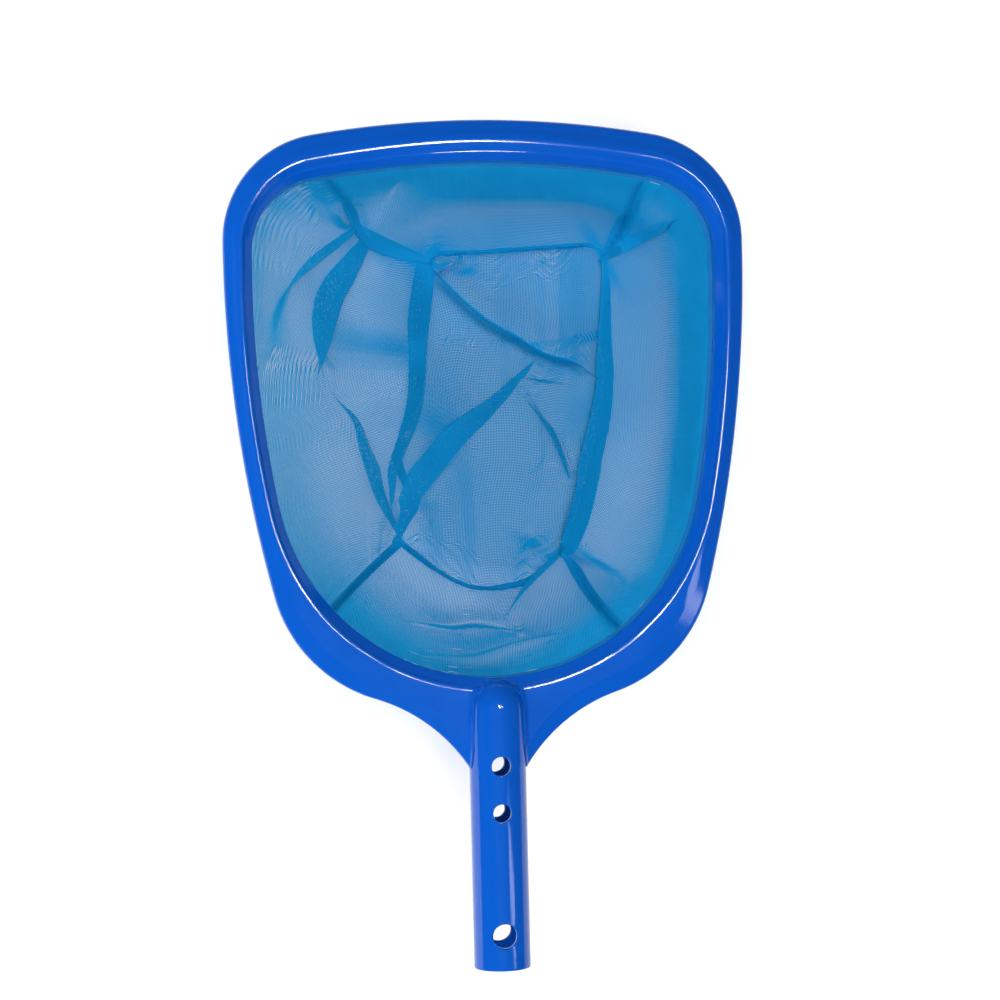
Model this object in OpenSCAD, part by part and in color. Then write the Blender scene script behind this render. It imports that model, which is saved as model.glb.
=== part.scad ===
// Leaf skimmer net: a moulded hoop with a tubular handle and a deep sewn net bag.
// Millimetres. +X across the hoop, +Y from the handle's mouth to the lip, +Z out of
// the side that faces the user. The origin is on the tube's axis, at its open mouth.

/* [Overall size] */
// Length from the handle's mouth to the lip of the hoop
overall_length = 430; // [415:1:450]
// Width across the widest part of the hoop
overall_width = 266; // [256:1:280]

/* [Hoop outline] */
// Radius of the long curve of the lip
lip_r = 520; // [450:10:640]
// Radius of the two upper corners
upper_corner_r = 55; // [46:1:60]
// Radius of the long curve of each side
side_r = 699; // [620:10:800]
// Distance from the lip down to the widest part
lip_to_widest = 66; // [60:1:72]
// Distance from the lip down to where a side turns into its lower corner
lip_to_lower_corner = 240; // [232:1:246]
// Radius of the two lower corners
lower_corner_r = 74.5; // [68:0.5:80]
// Radius of the hollow flank between a lower corner and the tube
flank_r = 87; // [75:1:110]
// Distance from the lip down to where the flanks meet the tube
lip_to_web = 329; // [322:1:338]

/* [Hoop opening] */
// Width of the moulding at the lip
lip_band = 21; // [18:0.5:24]
// Width of the moulding at the sides
side_band = 14.5; // [13:0.5:17]
// Distance from the lip down to the lowest point of the opening
lip_to_heel = 283.5; // [278:0.5:287]
// Distance from the lip down to the widest part of the opening
lip_to_opening_widest = 80; // [74:1:86]
// Radius of the opening along the lip
opening_lip_r = 480; // [420:10:600]
// Radius of the opening's upper corners
opening_corner_r = 38; // [32:1:44]
// Radius of the opening along the sides
opening_side_r = 600; // [560:10:680]

/* [Hoop section] */
// Height of the ridge above the tube's axis
ridge_height = 8.5; // [7:0.5:10]
// Height of the web's face above the tube's axis
web_height = 5.5; // [4.5:0.5:6.5]
// Depth of the skirts below the tube's axis
skirt_depth = 6; // [5:0.5:8]
// Thickness of the moulding's top skin
skin = 2.2; // [1.8:0.1:2.6]
// Thickness of the outer skirt
outer_skirt = 2.4; // [2:0.1:3]
// Thickness of the inner skirt
inner_skirt = 2.2; // [1.8:0.1:2.6]
// Width of the inner face that slopes down into the opening, at the sides
inner_slope = 5.5; // [4.5:0.5:6.5]
// Width of the same face at the lip
inner_slope_lip = 10; // [8:0.5:12]

/* [Handle] */
// Outer diameter of the tube
tube_d = 28.8; // [27:0.1:30]
// Wall of the tube
tube_wall = 2.6; // [2:0.1:3.2]
// Step where the tube enters the web, which stops the pole
stop_step = 0.4; // [0.2:0.1:0.8]
// How far the tube's bore runs past the web
bore_past_web = 17; // [10:1:20]
// Chamfer at the mouth of the bore
mouth_chamfer = 0.8; // [0.4:0.1:1.2]
// Diameter of the lock hole near the mouth
mouth_hole_d = 12; // [10:0.1:13]
// Distance from the mouth to that hole's axis
mouth_hole_at = 17.5; // [14:0.5:22]
// Diameter of the middle hole
middle_hole_d = 9; // [7:0.1:10]
// Distance from the web down to the middle hole's axis
middle_hole_below = 22; // [17:1:27]
// Diameter of the hole at the web
web_hole_d = 9.6; // [7:0.1:11]
// Distance from the web up to that hole's axis
web_hole_above = 1.5; // [-2:0.5:5]

/* [Retaining ring] */
// Width of the ring that is pressed into the channel
ring_w = 4; // [3:0.5:5]
// Height of the ring
ring_h = 3; // [2:0.5:3.5]
// Thickness of the rib on the channel's outer side
rib_t = 1.4; // [1:0.1:1.8]

/* [Net bag] */
// Depth of the bag's floor below the tube's axis
bag_depth = 86; // [70:1:100]
// How far the floor's middle sags below its edges
floor_sag = 4; // [2:0.5:8]
// Distance from the opening's lip to the floor's lip edge
lip_to_floor = 34; // [28:1:40]
// Length of the floor
floor_length = 160; // [148:1:170]
// Width of the floor at its lip edge
floor_lip_width = 112; // [102:1:122]
// Width of the floor at its heel edge
floor_heel_width = 90; // [80:1:100]
// How far the floor lies to the right of the axis at its lip edge
floor_lip_shift = 19; // [10:1:24]
// How far the floor lies to the right of the axis at its heel edge
floor_heel_shift = 5.5; // [0:0.5:12]
// How far the floor's right corners lie outside its length, and the left ones inside
floor_skew = 2; // [0:0.5:4]
// Height of the hem below the inner skirt
hem_height = 10; // [8:1:12]
// Thickness of the cloth solids
cloth_t = 1; // [0.8:0.1:1.4]
// Width of a sewn seam
seam_w = 5.5; // [4:0.5:7]
// Thickness of a sewn seam
seam_t = 0.8; // [0.6:0.1:1.2]
// Clearance between a soft piece and its neighbours
soft_gap = 0.3; // [0.2:0.1:0.5]

/* [Hidden] */

tube_r = tube_d / 2;
bore_r = tube_r - tube_wall;
half_w = overall_width / 2;
mouth_to_web = overall_length - lip_to_web;
bore_depth = mouth_to_web + bore_past_web;
middle_hole_at = mouth_to_web - middle_hole_below;
web_hole_at = mouth_to_web + web_hole_above;
// How far the domed end stays short of the opening
DOME_INSET = 0.5;
// Stations on each arc of the outline: lip, upper corner, side, lower corner, flank
STEPS = [7, 11, 9, 11, 12];
BLUE = [0.01, 0.3, 0.75];
NET_BLUE = [0.25, 0.58, 0.78];

// ---- Arcs and points ----

function unit(v) = v / norm(v);
function angle_of(v) = atan2(v.y, v.x);
function mix(a, b, f) = a + (b - a) * f;
function ease(f) = (1 - cos(180 * f)) / 2;
function reversed(list) = [for (i = [len(list) - 1 : -1 : 0]) list[i]];
function on_arc(c, r, a) = c + r * [cos(a), sin(a)];

// The point at distances r1 and r2 from two centres, on the left of the line c1 to c2
function meet(c1, r1, c2, r2) =
    let (d = norm(c2 - c1), u = (c2 - c1) / d, along = (r1 * r1 - r2 * r2 + d * d) / (2 * d))
    c1 + u * along + [-u.y, u.x] * sqrt(r1 * r1 - along * along);

// Value at angle a from a list of [angle, value] keys, eased from key to key
function keyed(a, keys, i = 0) =
    (i >= len(keys) - 1) ? keys[i][1]
    : (a <= keys[i][0]) ? keys[i][1]
    : (a < keys[i + 1][0])
        ? mix(keys[i][1], keys[i + 1][1], ease((a - keys[i][0]) / (keys[i + 1][0] - keys[i][0])))
    : keyed(a, keys, i + 1);

// ---- Outer outline, right half: each arc is [centre, radius, first angle, last angle] ----

lip_c = [0, overall_length - lip_r];
side_c = [half_w - side_r, overall_length - lip_to_widest];
upper_c = meet(side_c, side_r - upper_corner_r, lip_c, lip_r - upper_corner_r);
side_end = asin((lip_to_lower_corner - lip_to_widest) / side_r);
lower_c = on_arc(side_c, side_r - lower_corner_r, -side_end);
web_end = [tube_r, mouth_to_web];
flank_c = meet(lower_c, lower_corner_r + flank_r, web_end, flank_r);

OUTER = [
    [lip_c, lip_r, 90, angle_of(upper_c - lip_c)],
    [upper_c, upper_corner_r, angle_of(upper_c - lip_c), angle_of(upper_c - side_c)],
    [side_c, side_r, angle_of(upper_c - side_c), -side_end],
    [lower_c, lower_corner_r, -side_end, angle_of(flank_c - lower_c)],
    [flank_c, flank_r, angle_of(lower_c - flank_c), angle_of(web_end - flank_c)]
];

outer_right = [
    for (k = [0 : len(OUTER) - 1])
        for (i = [0 : STEPS[k] - 1])
            on_arc(OUTER[k][0], OUTER[k][1], mix(OUTER[k][2], OUTER[k][3], i / STEPS[k])),
    web_end
];
outer_ring = [
    for (p = outer_right) p,
    for (i = [len(outer_right) - 1 : -1 : 1]) [-outer_right[i].x, outer_right[i].y]
];

// ---- Opening outline, right half ----

opening_lip_y = overall_length - lip_band;
opening_half_w = half_w - side_band;
in_lip_c = [0, opening_lip_y - opening_lip_r];
in_side_c = [opening_half_w - opening_side_r, overall_length - lip_to_opening_widest];
in_upper_c = meet(in_side_c, opening_side_r - opening_corner_r, in_lip_c, opening_lip_r - opening_corner_r);
heel_y = overall_length - lip_to_heel;
heel_drop = in_side_c.y - heel_y;
heel_r = (opening_side_r ^ 2 - in_side_c.x ^ 2 - heel_drop ^ 2) / (2 * (opening_side_r - heel_drop));
heel_c = [0, heel_y + heel_r];
// The point inside the opening from which both outlines are read in polar form
EYE = [0, mix(heel_y, opening_lip_y, 0.44)];

OPENING = [
    [in_lip_c, opening_lip_r, 90, angle_of(in_upper_c - in_lip_c)],
    [in_upper_c, opening_corner_r, angle_of(in_upper_c - in_lip_c), angle_of(in_upper_c - in_side_c)],
    [in_side_c, opening_side_r, angle_of(in_upper_c - in_side_c), angle_of(heel_c - in_side_c)],
    [heel_c, heel_r, angle_of(heel_c - in_side_c), -90]
];

// Where the ray from EYE, turned by a from +Y, leaves the opening: [point, outward normal]
function edge_right(a) =
    let (
        d = [sin(a), cos(a)],
        hits = [
            for (arc = OPENING)
                let (m = arc[0] - EYE, b = m * d, q = b * b - m * m + arc[1] ^ 2)
                if (q >= 0)
                    let (p = EYE + d * (b + sqrt(q)), turn = angle_of(p - arc[0]))
                    if (turn <= arc[2] + 0.001 && turn >= arc[3] - 0.001)
                        [p, (p - arc[0]) / arc[1]]
        ]
    )
    hits[0];
function edge(a) =
    a >= 0 ? edge_right(a)
    : let (e = edge_right(-a)) [[-e[0].x, e[0].y], [-e[1].x, e[1].y]];
function turn_of(p) = atan2((p - EYE).x, (p - EYE).y);

// Points and normals round the opening, for the ring and the hem
in_steps = [6, 8, 8, 17];
edge_right_half = [
    for (k = [0 : len(OPENING) - 1])
        for (i = [0 : in_steps[k] - 1])
            let (a = mix(OPENING[k][2], OPENING[k][3], i / in_steps[k]))
            [on_arc(OPENING[k][0], OPENING[k][1], a), [cos(a), sin(a)]],
    [[0, heel_y], [0, -1]]
];
edge_loop = [
    for (e = edge_right_half) e,
    for (i = [len(edge_right_half) - 2 : -1 : 1])
        let (e = edge_right_half[i]) [[-e[0].x, e[0].y], [-e[1].x, e[1].y]]
];

// ---- Sweeps: rings of points joined into one closed solid ----

function ring_faces(rings, n) = [
    for (k = [0 : rings - 1])
        for (j = [0 : n - 1])
            let (a = k * n + j, b = k * n + (j + 1) % n, c = ((k + 1) % rings) * n + j,
                 d = ((k + 1) % rings) * n + (j + 1) % n)
            each [[a, b, d], [a, d, c]]
];

module closed_sweep(rings) {
    n = len(rings[0]);
    polyhedron(points = [for (r = rings) each r], faces = ring_faces(len(rings), n), convexity = 6);
}

// A section of [distance outward from the opening, height], carried round the opening
module edge_sweep(section) {
    closed_sweep([
        for (e = edge_loop)
            [for (s = section) [e[0].x + e[1].x * s.x, e[0].y + e[1].y * s.x, s.y]]
    ]);
}

// ---- Hoop ----

// Keys by angle from the lip: corner, side, lower corner, flank and tube
SIDE_A = 52;
LOW_SIDE_A = 108;
LOW_CORNER_A = 139;
FLANK_A = 156;
TUBE_A = 175;
shoulder_side = side_band - inner_slope;

// Distance from the outer edge to the ridge
function ridge_in(a, band) =
    keyed(a, [[0, lip_band - inner_slope_lip], [SIDE_A, shoulder_side], [LOW_SIDE_A, shoulder_side],
              [LOW_CORNER_A, shoulder_side + 0.5], [FLANK_A, 0.42 * band], [TUBE_A, 0.68 * band]]);
// Width of the inner face
function slope_in(a) =
    keyed(a, [[0, inner_slope_lip], [SIDE_A, inner_slope], [LOW_SIDE_A, inner_slope],
              [LOW_CORNER_A, inner_slope + 1], [TUBE_A, inner_slope + 1]]);
function ridge_z(a) =
    keyed(a, [[0, ridge_height + 0.5], [SIDE_A, ridge_height], [LOW_SIDE_A, ridge_height],
              [LOW_CORNER_A, mix(web_height, ridge_height, 0.5)], [FLANK_A, web_height + 0.4],
              [TUBE_A, web_height]]);

hem_leg = inner_skirt + 1.5 * soft_gap;
hem_under = -skirt_depth - soft_gap;
hem_top = -skirt_depth + ring_h + 0.8;
channel_top = hem_top + 2 * soft_gap;
hem_foot = hem_under - cloth_t - hem_height;
ring_at = hem_leg + cloth_t + soft_gap;
// Height of the outer edge's shoulder, of the rim at the opening, and the rise of its lead-in
EDGE_Z = -0.25 * skirt_depth;
RIM_Z = 0.1 * skirt_depth;
BROW_DROP = 0.3;
// Distances from the opening out to the channel's rib
rib_at = ring_at + ring_w + 2 * soft_gap;
rib_back = rib_at + rib_t;

// The closed section at one station, as [distance inward from the outer edge, height]
function hoop_section(a, band) =
    let (
        top = ridge_z(a),
        low = -skirt_depth,
        r = ridge_in(a, band),
        s = max(r + BROW_DROP, band - slope_in(a)),
        shoulder = min(r, keyed(a, [[0, r], [LOW_CORNER_A, r], [FLANK_A, 8]])),
        brow = top - BROW_DROP,
        haunch = min(outer_skirt + 0.28 * shoulder, band - rib_back - 0.4),
        roof = [
            [outer_skirt, EDGE_Z - 0.4], [haunch, mix(EDGE_Z, top, 0.82) - skin],
            [r, top - skin - 0.2], [s - 0.2, top - skin - 0.6],
            [band - inner_skirt - BROW_DROP, RIM_Z - skin]
        ],
        channel = band - (inner_skirt + rib_at) / 2
    )
    [
        [0, low], [0, EDGE_Z],
        for (f = [20, 42, 64]) [shoulder * (1 - cos(f)), EDGE_Z + (brow - EDGE_Z) * sin(f)],
        [shoulder, brow], [mix(shoulder, r, 0.9) + 0.05, top], [s, top - 0.1],
        [mix(s, band, 0.18), top - 0.7], [mix(s, band, 0.42), mix(RIM_Z, top, 0.66)],
        [mix(s, band, 0.72), mix(RIM_Z, top, 0.3)], [mix(s, band, 0.93), RIM_Z],
        [band, RIM_Z - 1], [band, low], [band - inner_skirt, low], roof[4],
        for (at = [channel, band - rib_at]) [at, lookup(at, roof)],
        [band - rib_at, low + 0.5], [band - rib_back, low + 0.5],
        [band - rib_back, lookup(band - rib_back, roof)],
        roof[1], roof[0], [outer_skirt, low]
    ];

hoop_rings = [
    for (p = outer_ring)
        let (
            turn = turn_of(p), e = edge(turn), u = (p - e[0]) / norm(p - e[0]),
            stretch = 1 / max(0.6, u * e[1]), band = norm(p - e[0]) / stretch
        )
        [for (s = reversed(hoop_section(abs(turn), band)))
            [p.x - u.x * s.x * stretch, p.y - u.y * s.x * stretch, s.y]]
];

module frame_hoop() {
    color(BLUE)
        difference() {
            closed_sweep(hoop_rings);
            tube_outside();
        }
}

// ---- Handle ----

root_r = tube_r + stop_step;
dome_at = heel_y - root_r - DOME_INSET;

// A cylinder along +Y from y = at
module barrel(at, length, r1, r2) {
    translate([0, at, 0])
        rotate([-90, 0, 0])
            cylinder(r1 = r1, r2 = r2, h = length, $fn = 64);
}

// The tube's outside: the spigot, the thicker root that stops the pole, and the domed
// end, which is cut flat over the channel of the ring
module tube_outside() {
    difference() {
        union() {
            barrel(0, mouth_to_web + 1, tube_r, tube_r);
            barrel(mouth_to_web, dome_at - mouth_to_web, root_r, root_r);
            translate([0, dome_at, 0])
                sphere(r = root_r, $fn = 64);
        }
        translate([-tube_d, heel_y - ring_at - ring_w - 2 * soft_gap, -tube_d])
            cube([2 * tube_d, tube_d, tube_d + channel_top]);
    }
}

module lock_hole(at, d) {
    translate([0, at, -tube_d])
        cylinder(d = d, h = 2 * tube_d, $fn = 48);
}

module frame_handle() {
    color(BLUE)
        difference() {
            tube_outside();
            barrel(-1, bore_depth + 1, bore_r, bore_r);
            barrel(-0.01, mouth_chamfer, bore_r + mouth_chamfer, bore_r);
            lock_hole(mouth_hole_at, mouth_hole_d);
            lock_hole(middle_hole_at, middle_hole_d);
            lock_hole(web_hole_at, web_hole_d);
        }
}

// ---- Retaining ring and hem ----

module retaining_ring() {
    color([0.05, 0.27, 0.62])
        edge_sweep([
            [ring_at, -skirt_depth + 0.4], [ring_at, -skirt_depth + ring_h],
            [ring_at + ring_w, -skirt_depth + ring_h], [ring_at + ring_w, -skirt_depth + 0.4]
        ]);
}

// The folded top of the net: down inside the opening, under the skirt and up into the channel
module bag_hem() {
    color(NET_BLUE)
        edge_sweep([
            [soft_gap, hem_foot], [soft_gap, hem_under], [hem_leg, hem_under], [hem_leg, hem_top],
            [hem_leg + cloth_t, hem_top], [hem_leg + cloth_t, hem_under - cloth_t],
            [soft_gap + cloth_t, hem_under - cloth_t], [soft_gap + cloth_t, hem_foot]
        ]);
}

// ---- Net bag ----

bag_top = hem_foot - soft_gap;
floor_z = -bag_depth + floor_sag;
floor_lip_y = opening_lip_y - lip_to_floor;
floor_heel_y = floor_lip_y - floor_length;

// The floor's corners and the turns of the opening's points above them, clockwise from the lip's right
CORNERS = [
    [floor_lip_shift + floor_lip_width / 2, floor_lip_y + floor_skew],
    [floor_heel_shift + floor_heel_width / 2, floor_heel_y - floor_skew],
    [floor_heel_shift - floor_heel_width / 2, floor_heel_y + floor_skew],
    [floor_lip_shift - floor_lip_width / 2, floor_lip_y - floor_skew]
];
CORNER_TURNS = [32, 143.5, 225.5, 331];
// How far each floor edge bows outward, as a share of its length, from the lip edge clockwise
BOWS = [0.035, 0.03, 0.085, 0.043];
// Each wall from the lip's clockwise: where along its length it turns from hanging to lying,
// how softly it turns, and how much of its way in the hanging part takes
WALL_FORMS = [[0.6, 0.16, 0.25], [0.6, 0.18, 0.1], [0.48, 0.5, 0], [0.45, 0.55, 0]];
// Openings of the coarse grid that stands for the fine mesh: along and down each wall, and
// across and along the floor
WALL_OPENINGS = [[6, 5], [8, 5], [6, 5], [8, 5]];
FLOOR_OPENINGS = [5, 8];
// Width of a bar between two openings as a share of an opening and a bar together
BAR_SHARE = 0.3;
// Steps along a corner's seam, which follows the walls' bend, and along a seam of the floor
CORNER_STEPS = 16;
FLOOR_SEAM_STEPS = 10;
// Gap between a wall's foot and the floor's edge
WALL_FOOT_GAP = 1.5 * soft_gap;

function rim_point(turn) =
    let (e = edge(turn > 180 ? turn - 360 : turn))
    e[0] + e[1] * soft_gap;
function floor_edge(side, f) =
    let (a = CORNERS[(side + 3) % 4], b = CORNERS[side % 4], u = unit(b - a))
    mix(a, b, f) + [-u.y, u.x] * BOWS[side] * norm(b - a) * sin(180 * f);
// Nothing below 0 and a slope of 1 above it, with a soft turn
function ramp(x, soft) = (x + sqrt(x * x + soft * soft)) / 2;
// A wall's form at f along it: its own in the middle, and at a corner the mean with its neighbour's
function wall_form(side, f) =
    let (own = WALL_FORMS[side], neighbour = WALL_FORMS[(side + (f < 0.5 ? 3 : 1)) % 4])
    mix((own + neighbour) / 2, own, ease(f < 0.5 ? 2 * f : 2 - 2 * f));
// A wall's surface: side 0 is the lip's, f runs clockwise along it and v from the hem down
function wall_point(side, f, v) =
    let (
        t0 = side == 0 ? CORNER_TURNS[3] - 360 : CORNER_TURNS[side - 1],
        t1 = CORNER_TURNS[side],
        top = rim_point(mix(t0, t1, f)),
        form = wall_form(side, f),
        turn = form[0],
        soft = form[1],
        lying = (ramp(v - turn, soft) - ramp(-turn, soft)) / (ramp(1 - turn, soft) - ramp(-turn, soft)),
        down = (ramp(turn, soft) - ramp(turn - v, soft)) / (ramp(turn, soft) - ramp(turn - 1, soft)),
        plan = mix(top, floor_edge(side, f), mix(lying, down, form[2]))
    )
    [plan.x, plan.y, mix(bag_top, floor_z, down)];
// The floor's surface between its four bowed edges
function floor_point(f, v) =
    let (
        lip = floor_edge(0, f), heel = floor_edge(2, 1 - f),
        right = floor_edge(1, v), left = floor_edge(3, 1 - v),
        flat = mix(lip, heel, v) + mix(left, right, f)
            - mix(mix(CORNERS[3], CORNERS[0], f), mix(CORNERS[2], CORNERS[1], f), v)
    )
    [flat.x, flat.y, floor_z - floor_sag * sin(180 * f) * sin(180 * v)];

// Edges of the bars over n openings in a row, from 0 to 1: bar, opening, bar and so on
function bar_edges(n) = [for (k = [0 : n]) each [k / (n + BAR_SHARE), (k + BAR_SHARE) / (n + BAR_SHARE)]];

// A grid of points and the same grid moved along its normals, closed round the border. Each
// cell with both its numbers odd is an opening, closed round its own edges.
module net_grid(grid, t) {
    rows = len(grid);
    cols = len(grid[0]);
    count = rows * cols;
    function at(i, j) = grid[max(0, min(rows - 1, i))][max(0, min(cols - 1, j))];
    function normal(i, j) = unit(cross(at(i, j + 1) - at(i, j - 1), at(i + 1, j) - at(i - 1, j)));
    function id(i, j) = i * cols + j;
    function is_open(i, j) = i % 2 == 1 && j % 2 == 1;
    // The strip between the two grids along a loop of points
    function strip_faces(loop) = [
        for (k = [0 : len(loop) - 1])
            let (a = loop[k], b = loop[(k + 1) % len(loop)])
            each [[a, b + count, b], [a, a + count, b + count]]
    ];
    border = [
        for (j = [0 : cols - 2]) id(0, j),
        for (i = [0 : rows - 2]) id(i, cols - 1),
        for (j = [cols - 1 : -1 : 1]) id(rows - 1, j),
        for (i = [rows - 1 : -1 : 1]) id(i, 0)
    ];
    polyhedron(
        points = [
            for (lift = [0, t])
                for (i = [0 : rows - 1])
                    for (j = [0 : cols - 1])
                        at(i, j) + normal(i, j) * lift
        ],
        faces = [
            for (i = [0 : rows - 2])
                for (j = [0 : cols - 2])
                    let (a = id(i, j), b = id(i, j + 1), c = id(i + 1, j), d = id(i + 1, j + 1))
                    each is_open(i, j) ? strip_faces([a, c, d, b])
                        : [[a, b, d], [a, d, c], [a + count, d + count, b + count],
                           [a + count, c + count, d + count]],
            each strip_faces(border)
        ],
        convexity = 10
    );
}

// Direction out of the bag on a wall, from the surface's own slope
function wall_out(side, f, v) =
    let (
        h = 0.02, f0 = max(0, f - h), f1 = min(1, f + h), v0 = max(0, v - h), v1 = min(1, v + h),
        along = wall_point(side, f1, v) - wall_point(side, f0, v),
        down = wall_point(side, f, v1) - wall_point(side, f, v0)
    )
    unit(cross(along, down));
function wall_length(side, v) = norm(wall_point(side, 1, v) - wall_point(side, 0, v));
// The share v that a distance up from a wall's foot takes, at f along the wall
function up_share(side, f, distance) =
    let (h = 0.02)
    h * distance / norm(wall_point(side, f, 1) - wall_point(side, f, 1 - h));

module bag_wall(side) {
    inset = soft_gap / wall_length(side, 1);
    low = 1 - up_share(side, 0.5, WALL_FOOT_GAP);
    color(NET_BLUE)
        net_grid([
            for (v = bar_edges(WALL_OPENINGS[side][1]))
                [for (f = bar_edges(WALL_OPENINGS[side][0]))
                    wall_point(side, mix(inset, 1 - inset, f), low * v)]
        ], cloth_t);
}

module bag_floor() {
    inset = 1.5 * soft_gap / floor_heel_width;
    color(NET_BLUE)
        net_grid([
            for (v = bar_edges(FLOOR_OPENINGS[1]))
                [for (f = bar_edges(FLOOR_OPENINGS[0]))
                    floor_point(mix(inset, 1 - inset, f), mix(inset, 1 - inset, v))]
        ], cloth_t);
}

// A folded strip along a path of [left foot, fold, right foot], each [point, direction out]
module folded_strip(path) {
    rows = len(path);
    points = [
        for (station = path)
            let (inner = [for (p = station) p[0]], outer = [for (p = station) p[0] + p[1] * seam_t])
            each concat(inner, reversed(outer))
    ];
    last = 6 * (rows - 1);
    color([0.05, 0.4, 0.7])
        polyhedron(
            points = points,
            faces = [
                [0, 1, 5], [1, 4, 5], [1, 2, 4], [2, 3, 4],
                [last, last + 5, last + 1], [last + 1, last + 5, last + 4],
                [last + 1, last + 4, last + 2], [last + 2, last + 4, last + 3],
                for (i = [0 : rows - 2])
                    for (j = [0 : 5])
                        let (a = 6 * i + j, b = 6 * i + (j + 1) % 6)
                        each [[a, b + 6, b], [a, a + 6, b + 6]]
            ],
            convexity = 4
        );
}

// One station of a strip that folds over the edge at p, between two faces of the bag
function fold_station(left, left_out, p, right, right_out) =
    let (
        lift = cloth_t + 1.5 * soft_gap,
        out = unit(left_out + right_out),
        reach = lift / max(0.5, out * left_out)
    )
    [[left + left_out * lift, left_out], [p + out * reach, out], [right + right_out * lift, right_out]];

// The seam down corner k, from under the hem to the floor's corner
module corner_seam(k) {
    next = (k + 1) % 4;
    foot = 1 - up_share(k, 1, seam_w / 2 + 2 * soft_gap);
    folded_strip([
        for (i = [0 : CORNER_STEPS])
            let (
                v = mix(0.02, foot, i / CORNER_STEPS),
                before = seam_w / 2 / wall_length(k, v),
                after = seam_w / 2 / wall_length(next, v)
            )
            fold_station(
                wall_point(next, after, v), wall_out(next, after, v),
                wall_point(k, 1, v),
                wall_point(k, 1 - before, v), wall_out(k, 1 - before, v)
            )
    ]);
}

// The floor's surface at distance share d in from one of its edges
function floor_in(side, f, d) =
    side == 0 ? floor_point(f, d)
    : side == 1 ? floor_point(1 - d, f)
    : side == 2 ? floor_point(1 - f, 1 - d)
    : floor_point(d, 1 - f);

// The seam along one edge of the floor, mitred at the corners
module floor_seam(side) {
    long = wall_length(side, 1);
    across = side % 2 == 0 ? floor_length : (floor_lip_width + floor_heel_width) / 2;
    mitre = (seam_w / 2 + soft_gap) / long;
    end = soft_gap / long;
    folded_strip([
        for (i = [0 : FLOOR_SEAM_STEPS])
            let (
                f = mix(end, 1 - end, i / FLOOR_SEAM_STEPS),
                g = max(mitre, min(1 - mitre, f)),
                up = 1 - up_share(side, f, seam_w / 2)
            )
            fold_station(
                wall_point(side, f, up), wall_out(side, f, up),
                wall_point(side, f, 1),
                floor_in(side, g, seam_w / 2 / across), [0, 0, -1]
            )
    ]);
}

frame_hoop();
frame_handle();
retaining_ring();
bag_hem();
bag_floor();
bag_wall(0);  // bag_lip_wall
bag_wall(1);  // bag_right_wall
bag_wall(2);  // bag_heel_wall
bag_wall(3);  // bag_left_wall
corner_seam(0);  // seam_lip_right
corner_seam(1);  // seam_heel_right
corner_seam(2);  // seam_heel_left
corner_seam(3);  // seam_lip_left
floor_seam(0);  // seam_floor_lip
floor_seam(1);  // seam_floor_right
floor_seam(2);  // seam_floor_heel
floor_seam(3);  // seam_floor_left
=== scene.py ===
import math
import bpy
import bmesh
import numpy as np
from mathutils import Matrix, Vector


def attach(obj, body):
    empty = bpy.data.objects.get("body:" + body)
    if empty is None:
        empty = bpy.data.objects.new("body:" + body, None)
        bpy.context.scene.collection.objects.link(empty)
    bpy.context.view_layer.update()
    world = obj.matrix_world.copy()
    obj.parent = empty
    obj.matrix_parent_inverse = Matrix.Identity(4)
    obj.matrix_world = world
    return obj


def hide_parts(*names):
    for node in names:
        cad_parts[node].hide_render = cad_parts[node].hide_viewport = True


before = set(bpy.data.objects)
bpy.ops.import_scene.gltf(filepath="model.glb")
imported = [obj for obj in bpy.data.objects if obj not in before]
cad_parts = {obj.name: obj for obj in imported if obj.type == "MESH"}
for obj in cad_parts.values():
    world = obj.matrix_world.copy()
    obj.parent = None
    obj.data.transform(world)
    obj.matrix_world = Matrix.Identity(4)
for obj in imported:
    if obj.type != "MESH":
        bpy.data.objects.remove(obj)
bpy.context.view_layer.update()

MM = 0.001

# ---- The hoop ----
# The hoop and the handle are one injection moulding of blue polypropylene. The hoop is
# hollow underneath: a domed top skin with an outer skirt, an inner skirt and a rib that
# makes the channel for the net. Sizes are in millimetres, and those of relief in metres.

overall_length, overall_width = 430.0, 266.0
opening_lip_y, heel_y = 409.0, 146.5
side_band = 14.5
opening_half_w = overall_width / 2 - side_band
mouth_to_web = 101.0
tube_r, root_r = 14.4, 14.8
dome_y = heel_y - root_r - 0.5
web_top = 5.5
web_fillet = 2.2
skirt_z = -6.0
outer_skirt, inner_skirt, skin = 2.4, 2.2, 2.2
# How far out from the opening's edge the channel's rib begins and ends
rib_near, rib_far = 8.55, 9.95
# Radii of the outline's arcs from the lip to the web, and of the opening's
lip_r, corner_r, side_r, lower_r, flank_r = 520, 55, 699, 74.5, 87
opening_lip_r, opening_corner_r, opening_side_r = 480, 38, 600
# How far below the lip the hoop and its opening are widest, and how far the hoop's side runs
# on from there before it turns in
widest_at, opening_widest_at, side_run = 66, 80, 174


def meet(c1, r1, c2, r2):
    """The point at distances r1 and r2 from two centres, on the left of the line c1 to c2."""
    c1, c2 = np.array(c1, float), np.array(c2, float)
    d = np.linalg.norm(c2 - c1)
    u = (c2 - c1) / d
    along = (r1 * r1 - r2 * r2 + d * d) / (2 * d)
    return c1 + u * along + np.array([-u[1], u[0]]) * math.sqrt(r1 * r1 - along * along)


def heading(v):
    return math.degrees(math.atan2(v[1], v[0]))


def keyed(a, keys):
    """Value at angle a from [angle, value] keys, eased from key to key."""
    if a <= keys[0][0]:
        return keys[0][1]
    for (a0, v0), (a1, v1) in zip(keys, keys[1:]):
        if a < a1:
            return v0 + (v1 - v0) * (1 - math.cos(math.pi * (a - a0) / (a1 - a0))) / 2
    return keys[-1][1]


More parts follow.
